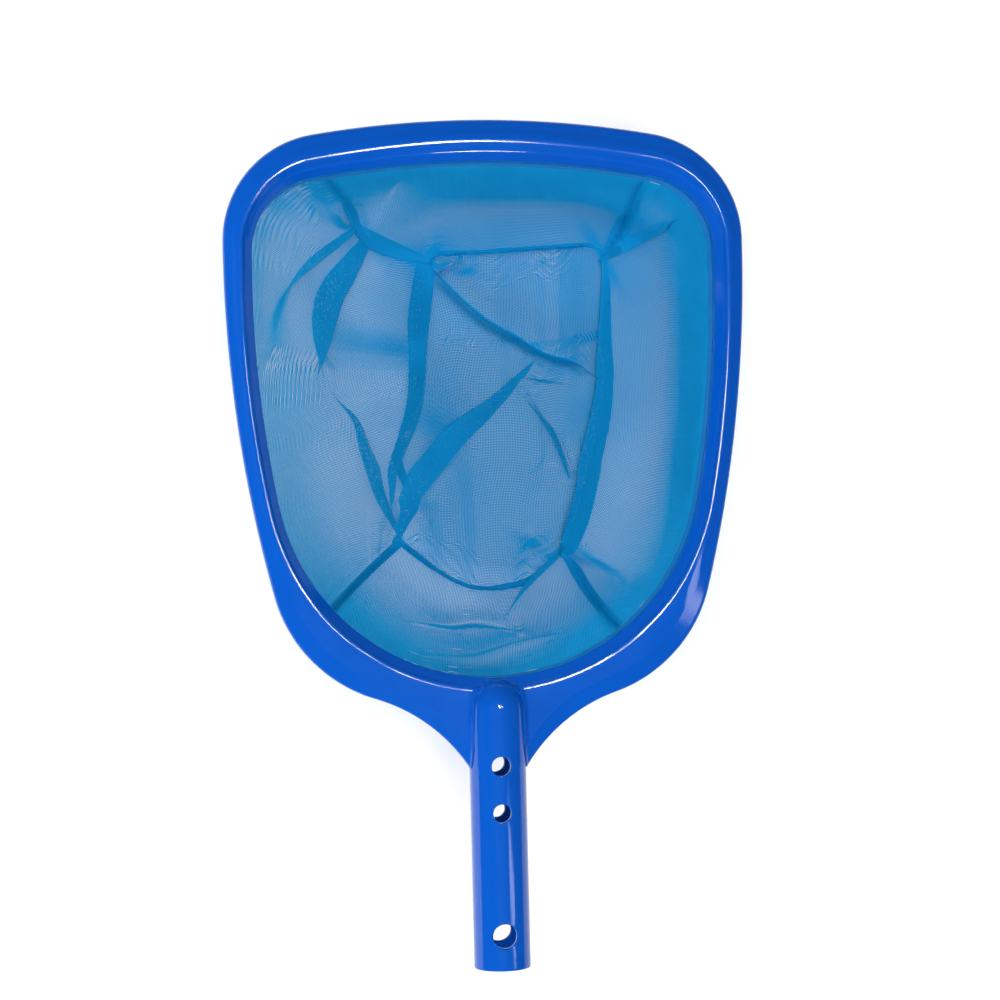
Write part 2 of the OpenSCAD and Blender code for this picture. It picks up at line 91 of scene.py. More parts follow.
# Each arc: centre, radius, first and last angle, and the length of its steps
lip_c = np.array([0, overall_length - lip_r])
side_c = np.array([overall_width / 2 - side_r, overall_length - widest_at])
upper_c = meet(side_c, side_r - corner_r, lip_c, lip_r - corner_r)
side_end = math.degrees(math.asin(side_run / side_r))
side_way = np.array([math.cos(math.radians(side_end)), -math.sin(math.radians(side_end))])
lower_c = side_c + (side_r - lower_r) * side_way
web_end = np.array([tube_r, mouth_to_web])
flank_c = meet(lower_c, lower_r + flank_r, web_end, flank_r)
hoop_arcs = [
    (lip_c, lip_r, 90, heading(upper_c - lip_c), 2.6),
    (upper_c, corner_r, heading(upper_c - lip_c), heading(upper_c - side_c), 1.8),
    (side_c, side_r, heading(upper_c - side_c), -side_end, 3.2),
    (lower_c, lower_r, -side_end, heading(flank_c - lower_c), 1.8),
    (flank_c, flank_r, heading(lower_c - flank_c), heading(web_end - flank_c), 0.9),
]
in_lip_c = np.array([0, opening_lip_y - opening_lip_r])
in_side_c = np.array([opening_half_w - opening_side_r, overall_length - opening_widest_at])
in_upper_c = meet(in_side_c, opening_side_r - opening_corner_r, in_lip_c, opening_lip_r - opening_corner_r)
heel_drop = in_side_c[1] - heel_y
heel_r = (opening_side_r ** 2 - in_side_c[0] ** 2 - heel_drop ** 2) / (2 * (opening_side_r - heel_drop))
heel_c = np.array([0, heel_y + heel_r])
opening_arcs = [
    (in_lip_c, opening_lip_r, 90, heading(in_upper_c - in_lip_c), 2.6),
    (in_upper_c, opening_corner_r, heading(in_upper_c - in_lip_c), heading(in_upper_c - in_side_c), 1.6),
    (in_side_c, opening_side_r, heading(in_upper_c - in_side_c), heading(heel_c - in_side_c), 3.0),
    (heel_c, heel_r, heading(heel_c - in_side_c), -90, 2.6),
]
# Places round the hoop are told by the turn from +Y as seen from this point inside it
eye = np.array([0, heel_y + 0.44 * (opening_lip_y - heel_y)])


def along_arcs(arcs):
    """Points and outward normals down the right half of an outline."""
    half = []
    for c, r, a0, a1, step in arcs:
        n = max(2, round(abs(math.radians(a1 - a0)) * r / step))
        for i in range(n):
            a = math.radians(a0 + (a1 - a0) * i / n)
            way = np.array([math.cos(a), math.sin(a)])
            half.append((c + r * way, way))
    return half


def opening_edge(turn):
    """Point and outward normal of the opening's edge at a turn."""
    a = math.radians(abs(turn))
    d = np.array([math.sin(a), math.cos(a)])
    for c, r, a0, a1, _ in opening_arcs:
        m = c - eye
        b = m @ d
        q = b * b - m @ m + r * r
        if q >= 0:
            p = eye + d * (b + math.sqrt(q))
            if a1 - 0.001 <= heading(p - c) <= a0 + 0.001:
                break
    n = (p - c) / r
    return (p, n) if turn >= 0 else (p * [-1, 1], n * [-1, 1])


def rounded(corners):
    """A closed section from corners [x, z, radius, steps], each rounded with that many steps."""
    out = []
    count = len(corners)
    for i, (x, z, r, steps) in enumerate(corners):
        v = np.array([x, z])
        if steps < 2:
            out.append(v)
            continue
        before = np.array(corners[i - 1][:2]) - v
        after = np.array(corners[(i + 1) % count][:2]) - v
        lb, la = np.linalg.norm(before), np.linalg.norm(after)
        bend = math.acos(max(-1.0, min(1.0, before @ after / (lb * la))))
        reach = min(r / max(0.05, math.tan(bend / 2)), 0.46 * lb, 0.46 * la)
        t1, t2 = v + before / lb * reach, v + after / la * reach
        for k in range(steps):
            t = k / (steps - 1)
            out.append((1 - t) ** 2 * t1 + 2 * t * (1 - t) * v + t * t * t2)
    return out


def hoop_section(a, band):
    """One section of the hoop at turn a, where it is band wide: distance in from the outer
    edge, and height."""
    top = keyed(a, [(0, 9.0), (52, 8.5), (108, 8.5), (139, 7.0), (156, 5.9), (175, 5.5)])
    slope = keyed(a, [(0, 9.6), (30, 8.4), (52, 5.8), (108, 5.6), (139, 6.4), (175, 6.4)])
    ridge = band - slope
    edge_top = keyed(a, [(0, 3.9), (52, 4.4), (139, 4.4), (156, 4.3)])
    edge_round = keyed(a, [(0, 4.0), (108, 4.0), (139, 3.0), (156, 1.7)])
    crease = min(0.5 * ridge, 9.0)
    crease_share = keyed(a, [(0, 0.5), (108, 0.5), (139, 0.74), (156, 0.92)])
    crease_z = edge_top + (top - edge_top) * crease_share
    rim = keyed(a, [(0, 2.4), (40, 1.4), (60, 0.7)])
    drop = top - rim
    bead = keyed(a, [(0, 0.445), (34, 0.48), (52, 0.68)])
    valley = keyed(a, [(0, 0.43), (34, 0.42), (52, 0.38)])
    valley_at = keyed(a, [(0, 0.50), (34, 0.47), (52, 0.34)])
    bead_at = keyed(a, [(0, 0.62), (34, 0.61), (52, 0.66)])
    crown = 0.17 * slope
    rib_in, rib_out = band - rib_near, band - rib_far
    haunch = min(outer_skirt + 0.28 * min(ridge, 9), rib_out - 0.4)
    # the hollow side's roof, from the outer skirt to the inner one
    roof_b = [outer_skirt, haunch, max(haunch + 0.1, ridge - 0.5), max(haunch + 0.2, ridge), band - 2.5]
    roof_z = [-1.9, -1.5 + 0.82 * (top + 1.5) - skin, top - 2.4, top - 2.7, rim - skin]
    channel = (band - inner_skirt + rib_in) / 2

    def roof(b):
        return (b, np.interp(b, roof_b, roof_z), 0, 1)

    swell = []
    for k in range(1, 7):
        rise = math.sin(math.pi / 2 * k / 9)
        swell.append((crease + (ridge - crease) * k / 9, crease_z + (top - crease_z) * rise, 0, 1))
    face = [(0, skirt_z, 0.7, 3), (0, edge_top, edge_round, 9), (crease, crease_z, 5.0, 4), *swell,
            (ridge - 0.4, top, 4.0, 6), (ridge + crown, top - 0.14 * (crown + 0.4), 2.5, 8),
            (ridge + valley_at * slope, top - valley * drop, 2.4, 5),
            (ridge + bead_at * slope, top - bead * drop, 1.6, 6), (band, rim, 0.9, 5)]
    hollow = [(band, skirt_z, 0.7, 3), (band - inner_skirt, skirt_z, 0.6, 3), (roof_b[4], roof_z[4], 0, 1),
              roof(channel), roof(rib_in), (rib_in, skirt_z + 0.5, 0.4, 3), (rib_out, skirt_z + 0.5, 0.4, 3),
              roof(rib_out), (roof_b[1], roof_z[1], 0, 1), (roof_b[0], roof_z[0], 0, 1),
              (outer_skirt, skirt_z, 0.6, 3)]
    return rounded(face + hollow)


def tube_fillet(x, y):
    """How much the web rises where it meets the handle's root."""
    girth = math.sqrt(root_r ** 2 - web_top ** 2)
    r = web_fillet
    inside = np.clip(np.hypot(x, np.maximum(0, y - dome_y)) - girth, 0, r)
    lift = r - np.sqrt(np.maximum(0, r * r - (r - inside) ** 2))
    return np.where(y > mouth_to_web - 2, lift, 0) * np.clip((heel_y + 3 - y) / 6, 0, 1)


def mesh_piece(name, verts, faces, smooth=True, weighted=False):
    """A mesh object from points in millimetres; weighted evens the shading of flat faces."""
    mesh = bpy.data.meshes.new(name)
    verts = np.asarray(verts, float) * MM
    mesh.from_pydata(verts.tolist(), [], [list(map(int, f)) for f in faces])
    mesh.validate()
    piece = bpy.data.objects.new(name, mesh)
    bpy.context.scene.collection.objects.link(piece)
    bm = bmesh.new()
    bm.from_mesh(mesh)
    bmesh.ops.recalc_face_normals(bm, faces=bm.faces)
    bm.to_mesh(mesh)
    bm.free()
    if smooth:
        mesh.polygons.foreach_set("use_smooth", [True] * len(mesh.polygons))
    if weighted:
        even = piece.modifiers.new("even_normals", "WEIGHTED_NORMAL")
        even.weight = 60
    return piece


def loop_piece(name, rings):
    """A piece whose closed sections follow one another all the way round."""
    count, n = len(rings), len(rings[0])
    k, j = np.meshgrid(np.arange(count), np.arange(n), indexing="ij")
    a, b = k * n + j, k * n + (j + 1) % n
    c, d = ((k + 1) % count) * n + j, ((k + 1) % count) * n + (j + 1) % n
    return mesh_piece(name, np.concatenate(rings), np.stack([a, b, d, c], -1).reshape(-1, 4), weighted=True)


# The outline runs down the flank and then inside the handle's wall, where it is hidden
hidden_run = [(14.0, 101.4), (13.6, 103.0), (13.3, 107.0), (13.0, 112.0), (12.8, 116.0), (12.4, 119.6),
              (10.5, 120.4), (8.0, 120.6), (5.4, 120.7), (2.7, 120.8), (0.0, 120.8)]
outer_right = [p for p, _ in along_arcs(hoop_arcs)] + [web_end] + [np.array(p) for p in hidden_run]
outline = outer_right + [p * [-1, 1] for p in outer_right[-2:0:-1]]
stations = []
for p in outline:
    turn = math.degrees(math.atan2(*(p - eye)))
    edge, out = opening_edge(turn)
    u = (p - edge) / np.linalg.norm(p - edge)
    # where the ray crosses the hoop at a slant, its section is longer
    stretch = 1 / max(0.6, u @ out)
    section = np.array(hoop_section(abs(turn), np.linalg.norm(p - edge) / stretch))
    xy = p - u * section[:, :1] * stretch
    ring = np.column_stack([xy, section[:, 1]])
    upper = section[:, 1] > 1.5
    ring[upper, 2] += tube_fillet(np.abs(xy[upper, 0]), xy[upper, 1])
    # inside the handle's wall its foot stays clear of the tube's outside
    if p[1] < 121 and abs(p[0]) < tube_r - 0.1:
        ring[:, 2] = np.maximum(ring[:, 2], skirt_z + 1)
    stations.append(ring)
hoop = loop_piece("hoop", stations)


def moulded_grain():
    """Faint mottling and orange peel of a polished mould, as masks."""
    group = bpy.data.node_groups.new("moulded_grain", "ShaderNodeTree")
    face = group.interface
    for name, value in (("Mottle size", 60.0), ("Peel size", 900.0)):
        face.new_socket(name=name, in_out="INPUT", socket_type="NodeSocketFloat").default_value = value
    for name in ("Mottle", "Peel"):
        face.new_socket(name=name, in_out="OUTPUT", socket_type="NodeSocketFloat")
    n, link = group.nodes, group.links.new
    given, made = n.new("NodeGroupInput"), n.new("NodeGroupOutput")
    place = n.new("ShaderNodeTexCoord")
    mottle, peel = n.new("ShaderNodeTexNoise"), n.new("ShaderNodeTexNoise")
    mottle.inputs["Detail"].default_value = 3.0
    peel.inputs["Detail"].default_value = 2.0
    for noise, size in ((mottle, "Mottle size"), (peel, "Peel size")):
        link(place.outputs["Object"], noise.inputs["Vector"])
        link(given.outputs[size], noise.inputs["Scale"])
    link(mottle.outputs["Fac"], made.inputs["Mottle"])
    link(peel.outputs["Fac"], made.inputs["Peel"])
    return group


def new_material(name):
    """A material with its nodes, its way to link them and its shader."""
    material = bpy.data.materials.new(name)
    material.use_nodes = True
    tree = material.node_tree
    return material, tree.nodes, tree.links.new, tree.nodes["Principled BSDF"]


def two_tone(n, light, dark):
    """A colour between two tones."""
    colour = n.new("ShaderNodeMix")
    colour.data_type = "RGBA"
    colour.inputs["A"].default_value = (*dark, 1)
    colour.inputs["B"].default_value = (*light, 1)
    return colour


def plastic(name, light, dark, rough, peel_depth):
    """Coloured plastic: mottled colour, uneven gloss and a faint orange peel."""
    material, n, link, shader = new_material(name)
    shader.inputs["IOR"].default_value = 1.46
    grain = n.new("ShaderNodeGroup")
    grain.node_tree = moulding
    colour = two_tone(n, light, dark)
    gloss = n.new("ShaderNodeMapRange")
    gloss.inputs["To Min"].default_value, gloss.inputs["To Max"].default_value = rough
    bump = n.new("ShaderNodeBump")
    bump.inputs["Distance"].default_value = peel_depth
    bump.inputs["Strength"].default_value = 0.35
    link(grain.outputs["Mottle"], colour.inputs["Factor"])
    link(grain.outputs["Mottle"], gloss.inputs["Value"])
    link(colour.outputs["Result"], shader.inputs["Base Color"])
    link(gloss.outputs["Result"], shader.inputs["Roughness"])
    link(grain.outputs["Peel"], bump.inputs["Height"])
    link(bump.outputs["Normal"], shader.inputs["Normal"])
    return material


moulding = moulded_grain()
blue_plastic = plastic("blue_polypropylene", light=(0.0010, 0.074, 0.42), dark=(0.0008, 0.065, 0.375),
                       rough=(0.06, 0.10), peel_depth=0.00003)
hoop.data.materials.append(blue_plastic)
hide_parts("frame_hoop")
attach(hoop, "root")

# ---- The handle ----
# A tube in the same moulding: the spigot that a pole slides over, a thicker root in the
# web that stops the pole, and a domed end. Three holes pass through both walls for the
# spring buttons of the pole.

bore_r, bore_depth = 11.8, 118.0
# Each hole's distance from the mouth, and its radius
holes = [(17.5, 6.0), (79.0, 4.5), (102.5, 4.8)]
# The skins are grids of rows and columns, with a window left for the rim of each hole: half
# its width in columns, and half its length
columns = 96
patch = 10
window = 9
hole_rows = [y + d for y, _ in holes for d in np.linspace(-window, window, 11)]
plain_rows = [*np.linspace(1.2, 8.5, 4), *np.linspace(26.5, 70, 12), *np.linspace(88, 93.5, 3),
              111.5, 115, 118]
rows = sorted({round(float(y), 3) for y in plain_rows + hole_rows})
# Each step in from a window to a hole's rim: share of the way, how much wider than the hole,
# and how far the rounded rim drops
rim_steps = [(0.35, 0, 0), (0.65, 0, 0), (0.86, 0, 0), (1, 0.55, 0), (1, 0.16, 0.16), (1, 0, 0.55)]


def join(faces, one, other):
    """A band of faces between two closed rows of as many points."""
    n = len(one)
    faces.extend((one[k], one[(k + 1) % n], other[(k + 1) % n], other[k]) for k in range(n))


def tube_girth(y):
    """The tube's outer radius, with the step at the web eased."""
    t = min(1, max(0, (y - 100.4) / 1.6))
    return tube_r + (root_r - tube_r) * t * t * (3 - 2 * t)


def tube_skin(points, faces, girth, inward):
    """One skin of the tube, of radius girth(y). Returns the points of its first and last row,
    and of each hole's rim, above and below."""
    index = {}

    def at(j, i):
        key = (j, i % columns)
        if key not in index:
            a = 2 * math.pi * (i % columns) / columns
            y = rows[j]
            index[key] = len(points)
            points.append((girth(y) * math.sin(a), y, girth(y) * math.cos(a)))
        return index[key]

    windows = []
    for y, r in holes:
        j0 = min(range(len(rows)), key=lambda j: abs(rows[j] - (y - window)))
        j1 = min(range(len(rows)), key=lambda j: abs(rows[j] - (y + window)))
        for centre in (0, columns // 2):
            windows.append((j0, j1, centre, y, r))
    for j in range(len(rows) - 1):
        for i in range(columns):
            if not any(j0 <= j < j1 and (i - c + patch) % columns < 2 * patch for j0, j1, c, _, _ in windows):
                faces.append((at(j, i), at(j, i + 1), at(j + 1, i + 1), at(j + 1, i)))
    rims = []
    for j0, j1, c, y, r in windows:
        border = [at(j0, c - patch + k) for k in range(2 * patch)]
        border += [at(j0 + k, c + patch) for k in range(j1 - j0)]
        border += [at(j1, c + patch - k) for k in range(2 * patch)]
        border += [at(j1 - k, c - patch) for k in range(j1 - j0)]
        sign = 1 if c == 0 else -1
        previous = border
        for share, grow, sink in rim_steps:
            ring = []
            for v in border:
                a = math.atan2(points[v][1] - y, points[v][0])
                edge = np.array([math.cos(a) * (r + grow), math.sin(a) * (r + grow)])
                start = np.array([points[v][0], points[v][1] - y])
                x, dy = edge * share + start * (1 - share) if share < 1 else edge
                g = girth(y + dy)
                z = sign * (math.sqrt(g * g - x * x) + (sink if inward else -sink))
                ring.append(len(points))
                points.append((x, y + dy, z))
            join(faces, previous, ring)
            previous = ring
        rims.append(previous)
    return [at(0, i) for i in range(columns)], [at(len(rows) - 1, i) for i in range(columns)], rims


def lathe_rows(points, faces, last, profile):
    """More rows on a tube's end: each [radius, y]; a radius of 0 closes it."""
    for r, y in profile:
        if r == 0:
            tip = len(points)
            points.append((0, y, 0))
            faces.extend((last[i], last[(i + 1) % columns], tip) for i in range(columns))
            return last
        ring = []
        for i in range(columns):
            a = 2 * math.pi * i / columns
            ring.append(len(points))
            points.append((r * math.sin(a), y, r * math.cos(a)))
        join(faces, last, ring)
        last = ring
    return last


handle_points, handle_faces = [], []
mouth, inner_end, outer_rims = tube_skin(handle_points, handle_faces, tube_girth, False)
bore_mouth, bore_end, bore_rims = tube_skin(handle_points, handle_faces, lambda y: bore_r, True)
dome = [(root_r * math.cos(math.radians(a)), dome_y + root_r * math.sin(math.radians(a)))
        for a in range(5, 90, 5)]
lathe_rows(handle_points, handle_faces, inner_end,
           [(root_r, 123), (root_r, 128), (root_r, dome_y), *dome, (0, dome_y + root_r)])
lathe_rows(handle_points, handle_faces, bore_end,
           [(bore_r * k / 5, bore_depth) for k in (4.6, 3.5, 2, 1)] + [(0, bore_depth)])
lip_ring = lathe_rows(handle_points, handle_faces, mouth, [
    (tube_r, 0.75), (tube_r - 0.09, 0.36), (tube_r - 0.32, 0.1), (tube_r - 0.7, 0),
    (bore_r + 0.9, 0), (bore_r + 0.72, 0.08), (bore_r + 0.05, 0.75), (bore_r, 0.95)])
join(handle_faces, lip_ring, bore_mouth)
for outer_rim, bore_rim in zip(outer_rims, bore_rims):
    join(handle_faces, outer_rim, bore_rim)
handle = mesh_piece("handle", handle_points, handle_faces, weighted=True)
handle.data.materials.append(blue_plastic)
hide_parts("frame_handle")
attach(handle, "root")

# ---- The retaining ring ----
# An extruded plastic ring that is pressed into the channel under the hoop and holds the
# net's hem there.

# How far out from the opening's edge the ring lies, its width, and its foot and top
ring_at, ring_w, ring_low, ring_high = 3.95, 4.0, -5.6, -3.0
opening_right = along_arcs(opening_arcs) + [(np.array([0, heel_y]), np.array([0.0, -1.0]))]
opening_loop = opening_right + [(p * [-1, 1], n * [-1, 1]) for p, n in opening_right[-2:0:-1]]


def swept(corners):
    """Rings of a rounded section [distance outward, height, radius, steps] all round the opening."""
    section = np.array(rounded(corners))
    return [np.column_stack([p + n * section[:, :1], section[:, 1]]) for p, n in opening_loop]


ring = loop_piece("net_ring", swept([
    (ring_at, ring_low, 0.9, 4), (ring_at, ring_high, 0.9, 4), (ring_at + ring_w, ring_high, 0.9, 4),
    (ring_at + ring_w, ring_low, 0.9, 4), (ring_at + ring_w / 2, ring_low + 0.35, 0.6, 3)]))
ring.data.materials.append(plastic("dark_blue_ring", light=(0.003, 0.075, 0.42), dark=(0.002, 0.06, 0.33),
                                   rough=(0.38, 0.5), peel_depth=0.00008))
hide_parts("retaining_ring")
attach(ring, "root")

# ---- The net's hem ----
# The top of the net is folded double and goes down inside the opening, under the inner
# skirt and up into the channel. The double cloth is denser than the rest of the net.


def cloth_weave():
    """Threads of close cloth as a height, and a slow unevenness of its dye."""
    group = bpy.data.node_groups.new("cloth_weave", "ShaderNodeTree")
    face = group.interface
    face.new_socket(name="Threads per metre", in_out="INPUT", socket_type="NodeSocketFloat")
    for name in ("Thread", "Dye"):
        face.new_socket(name=name, in_out="OUTPUT", socket_type="NodeSocketFloat")
    n, link = group.nodes, group.links.new
    given, made = n.new("NodeGroupInput"), n.new("NodeGroupOutput")
    place = n.new("ShaderNodeTexCoord")
    waves = []
    for axis in ("X", "Y"):
        wave = n.new("ShaderNodeTexWave")
        wave.bands_direction = axis
        wave.inputs["Distortion"].default_value = 0.4
        wave.inputs["Detail"].default_value = 1.0
        link(place.outputs["Object"], wave.inputs["Vector"])
        link(given.outputs["Threads per metre"], wave.inputs["Scale"])
        waves.append(wave)
    upper = n.new("ShaderNodeMath")
    upper.operation = "MAXIMUM"
    link(waves[0].outputs["Fac"], upper.inputs[0])
    link(waves[1].outputs["Fac"], upper.inputs[1])
    dye = n.new("ShaderNodeTexNoise")
    dye.inputs["Scale"].default_value = 45.0
    link(place.outputs["Object"], dye.inputs["Vector"])
    link(upper.outputs["Value"], made.inputs["Thread"])
    link(dye.outputs["Fac"], made.inputs["Dye"])
    return group


def woven(name, light, dark, threads, depth):
    """Cloth of blue nylon: threads in relief, uneven dye and a faint sheen."""
    material, n, link, shader = new_material(name)
    shader.inputs["Roughness"].default_value = 0.6
    shader.inputs["Sheen Weight"].default_value = 0.03
    shader.inputs["Sheen Roughness"].default_value = 0.5
    shader.inputs["Specular IOR Level"].default_value = 0.12
    cloth = n.new("ShaderNodeGroup")
    cloth.node_tree = weave
    cloth.inputs["Threads per metre"].default_value = threads
    colour = two_tone(n, light, dark)
    bump = n.new("ShaderNodeBump")
    bump.inputs["Distance"].default_value = depth
    bump.inputs["Strength"].default_value = 0.6
    link(cloth.outputs["Dye"], colour.inputs["Factor"])
    link(colour.outputs["Result"], shader.inputs["Base Color"])
    link(cloth.outputs["Thread"], bump.inputs["Height"])
    link(bump.outputs["Normal"], shader.inputs["Normal"])
    return material


weave = cloth_weave()
# The hem hangs below the inner skirt, passes outward under it and turns up beside the ring
hem_in, hem_out, hem_t = 0.3, 2.65, 1.0
hem_low, hem_under, hem_top = -17.3, -6.3, -2.2
hem = loop_piece("net_hem", swept([
    (hem_in, hem_low, 0.3, 3), (hem_in, hem_under, 0.4, 3),
    (hem_out, hem_under, 0.2, 2), (hem_out, hem_top, 0.3, 3),
    (hem_out + hem_t, hem_top, 0.3, 3), (hem_out + hem_t, hem_under - hem_t, 0.4, 3),
    (hem_in + hem_t, hem_under - hem_t, 0.2, 2), (hem_in + hem_t, hem_low, 0.3, 3)]))
hem.data.materials.append(woven("hem_cloth", light=(0.006, 0.22, 0.58), dark=(0.004, 0.19, 0.52),
                                threads=900.0, depth=0.0002))
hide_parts("bag_hem")
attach(hem, "root")

# ---- The net bag ----
# Five panels of fine knitted nylon net: a floor and four walls, cut to shape and sewn
# together. The bag hangs from the hem and lies in loose folds.

thread_pitch = 0.88
thread_w = 0.41
bag_top, bag_floor_z, floor_sag = -17.6, -82.0, 4.0
# Where the floor's corners and edges lie once the slack cloth has settled, and at which turns
# the corners' seams start at the hem; an edge's bow is a share of its length
floor_corners = np.array([[75.0, 377], [50.5, 213], [-39.5, 217], [-26, 372]])
corner_turns = [32, 143.5, 225.5, 331]
edge_bows = [-0.008, 0.03, 0.25, -0.01]
# Each wall: where along its length it turns from hanging to lying, how softly, and how much
# of its way in the hanging part takes
wall_forms = np.array([[0.6, 0.16, 0.25], [0.6, 0.18, 0.1], [0.48, 0.5, 0.5], [0.45, 0.55, 0.4]])


def floor_edge(side, f):
    """The floor's edge in plan at f along it, clockwise; side 0 is the lip's."""
    a, b = floor_corners[(side + 3) % 4], floor_corners[side % 4]
    long = np.linalg.norm(b - a)
    u = (b - a) / long
    f = np.asarray(f, float)[..., None]
    return a + (b - a) * f + np.array([-u[1], u[0]]) * edge_bows[side] * long * np.sin(np.pi * f)


rim_turns = np.linspace(-180, 180, 1441)
rim_table = np.array([p + n * hem_in for p, n in map(opening_edge, rim_turns.tolist())])


def rim_point(turn):
    """The bag's upper edge in plan at a turn."""
    turn = np.where(np.asarray(turn) > 180, np.asarray(turn) - 360, turn)
    return np.stack([np.interp(turn, rim_turns, rim_table[:, k]) for k in (0, 1)], -1)


def ramp(x, soft):
    """Nothing below 0 and a slope of 1 above it, with a soft turn."""
    return (x + np.sqrt(x * x + soft * soft)) / 2


def wall_surface(side, f, v):
    """A wall before its folds: f runs clockwise along it, v from the hem down to the floor."""
    t0 = corner_turns[3] - 360 if side == 0 else corner_turns[side - 1]
    top = rim_point(t0 + (corner_turns[side] - t0) * f)
    ease = ((1 - np.cos(2 * np.pi * f)) / 2)[..., None]
    neighbour = np.where((f < 0.5)[..., None], wall_forms[side - 1], wall_forms[(side + 1) % 4])
    form = (wall_forms[side] + neighbour) / 2 * (1 - ease) + wall_forms[side] * ease
    turn, soft, lean = form[..., 0], form[..., 1], form[..., 2]
    lying = (ramp(v - turn, soft) - ramp(-turn, soft)) / (ramp(1 - turn, soft) - ramp(-turn, soft))
    down = (ramp(turn, soft) - ramp(turn - v, soft)) / (ramp(turn, soft) - ramp(turn - 1, soft))
    inward = lying * (1 - lean) + down * lean
    plan = top + (floor_edge(side, f) - top) * inward[..., None]
    return np.concatenate([plan, (bag_top + (bag_floor_z - bag_top) * down)[..., None]], -1)


def floor_surface(f, v):
    """The floor before its folds: f runs to the right, v from the lip edge to the heel edge."""
    c = floor_corners
    lip, heel = floor_edge(0, f), floor_edge(2, 1 - f)
    right, left = floor_edge(1, v), floor_edge(3, 1 - v)
    f, v = f[..., None], v[..., None]
    straight = (c[3] + (c[0] - c[3]) * f) * (1 - v) + (c[2] + (c[1] - c[2]) * f) * v
    flat = lip + (heel - lip) * v + left + (right - left) * f - straight
    z = bag_floor_z - floor_sag * np.sin(np.pi * f) * np.sin(np.pi * v)
    return np.concatenate([flat, z], -1)


# Pleats, where the cloth doubles back and lies in three layers: points in plan, half the
# width at each of them, and how crisp their edges are
pleats = [
    ([(77, 370), (75.5, 330), (74.5, 302), (71, 276), (64.5, 250), (58, 227), (52, 212)],
     [2.2, 4.6, 6.2, 6.8, 7.4, 7.8, 6.6], 6),
    ([(44, 205), (31, 194), (17, 180)], [2.2, 2.6, 0.3], 3),
    ([(36, 312), (23, 299), (0, 277), (-15, 258), (-28, 240), (-38, 222)], [0.3, 3.2, 6.0, 6.2, 5.2, 2.2], 6),
    ([(-23, 362), (-27, 329), (-29, 296), (-34.5, 266), (-38, 244)], [7.4, 7.8, 7.0, 4.4, 1.8], 3),
    ([(-73, 293), (-63, 281.5), (-58, 266), (-54, 255), (-51, 243.5), (-46, 232), (-42, 224)],
     [0.3, 2.0, 3.8, 4.7, 3.8, 2.8, 1.6], 6),
    ([(-53, 370), (-60, 357), (-68, 341), (-75, 325), (-81.5, 309)], [3.0, 6.4, 7.4, 6.0, 0.8], 3),
    ([(-70, 376), (-84, 364), (-97, 348), (-107, 331), (-113, 313)], [5.0, 8.6, 9.0, 6.0, 1.0], 2),
    ([(-64, 389), (-57, 382), (-49, 377.5), (-39, 373.5), (-24, 369)], [1.5, 5.0, 6.4, 5.6, 3.0], 5),
    ([(-17, 362), (-12, 355), (7, 337), (24, 327), (40, 318), (57, 312), (68, 305)],
     [0.3, 1.1, 1.4, 1.4, 1.4, 1.2, 0.6], 4),
    ([(79, 371), (90, 377), (104, 383)], [3.5, 4.8, 4.0], 5),
    ([(31, 304), (42, 302.5), (51, 301)], [0.3, 1.0, 0.3], 4),
    ([(31, 293), (40, 280), (46, 271), (52, 254)], [0.3, 1.1, 1.6, 1.2], 4),
    ([(-39, 174.5), (-16, 172), (-2, 173), (17, 171)], [0.3, 1.5, 1.5, 0.3], 3),
    ([(-31, 159), (-6, 158), (17, 162.5), (38, 166)], [0.3, 1.5, 1.5, 0.3], 3),
]
# Ridges, where slack cloth stands up: points in plan, half the width left and right of the
# line, and height
ridges = [
    ([(-17, 362), (-12, 355), (7, 337), (24, 327), (40, 318), (57, 312), (68, 305)], (13, 2.5), 8),
    ([(31, 293), (40, 280), (46, 271), (55, 244)], (1.4, 5), 3),
    ([(-39, 174.5), (-16, 172), (-2, 173), (17, 171)], (5, 1.5), 4),
    ([(-31, 159), (-6, 158), (17, 162.5), (38, 166)], (5, 2), 3.5),
]
# How far a pleat runs out past its last point, how far to its sides it draws the cloth in,
# and how far apart in height its layers lie
pleat_end, pull, layer_gap = 9.0, 36.0, 0.9
# The folds are worked out on a grid in plan
fold_step = 0.5
fold_x, fold_y = np.arange(-132, 132.1, fold_step), np.arange(138, 422.1, fold_step)
curve_steps = 12
# A point is near a fold where the cloth within this reach moves by more than this per mm
fold_reach, fold_steep = 2.5, 0.9
# The cloth is held still for this far under the hem, and is all slack this much lower
held_drop, slack_drop = 8, 40
# Threads are traced on a grid of cloth of this step. Away from folds one point in seven is
# kept, and a thread of fewer points than the shortest is left out
cloth_step, keep_every, shortest_run = 0.9, 7, 4
# A thread's foot below and top above its middle line, as shares of its width
tube_foot, tube_rise = 0.28, 0.52


def curved(points, values):
    """A smooth line through the points, with the values carried along it."""
    rows = np.column_stack([np.array(points, float), values])
    rows = np.vstack([2 * rows[0] - rows[1], rows, 2 * rows[-1] - rows[-2]])
    out = []
    for p0, p1, p2, p3 in zip(rows, rows[1:], rows[2:], rows[3:]):
        for t in np.arange(curve_steps) / curve_steps:
            bend = 2 * p0 - 5 * p1 + 4 * p2 - p3 + t * (3 * (p1 - p2) + p3 - p0)
            out.append(p1 + 0.5 * t * (p2 - p0 + t * bend))
    out.append(rows[-2])
    out = np.array(out)
    return out[:, :2], np.maximum(0.01, out[:, 2])


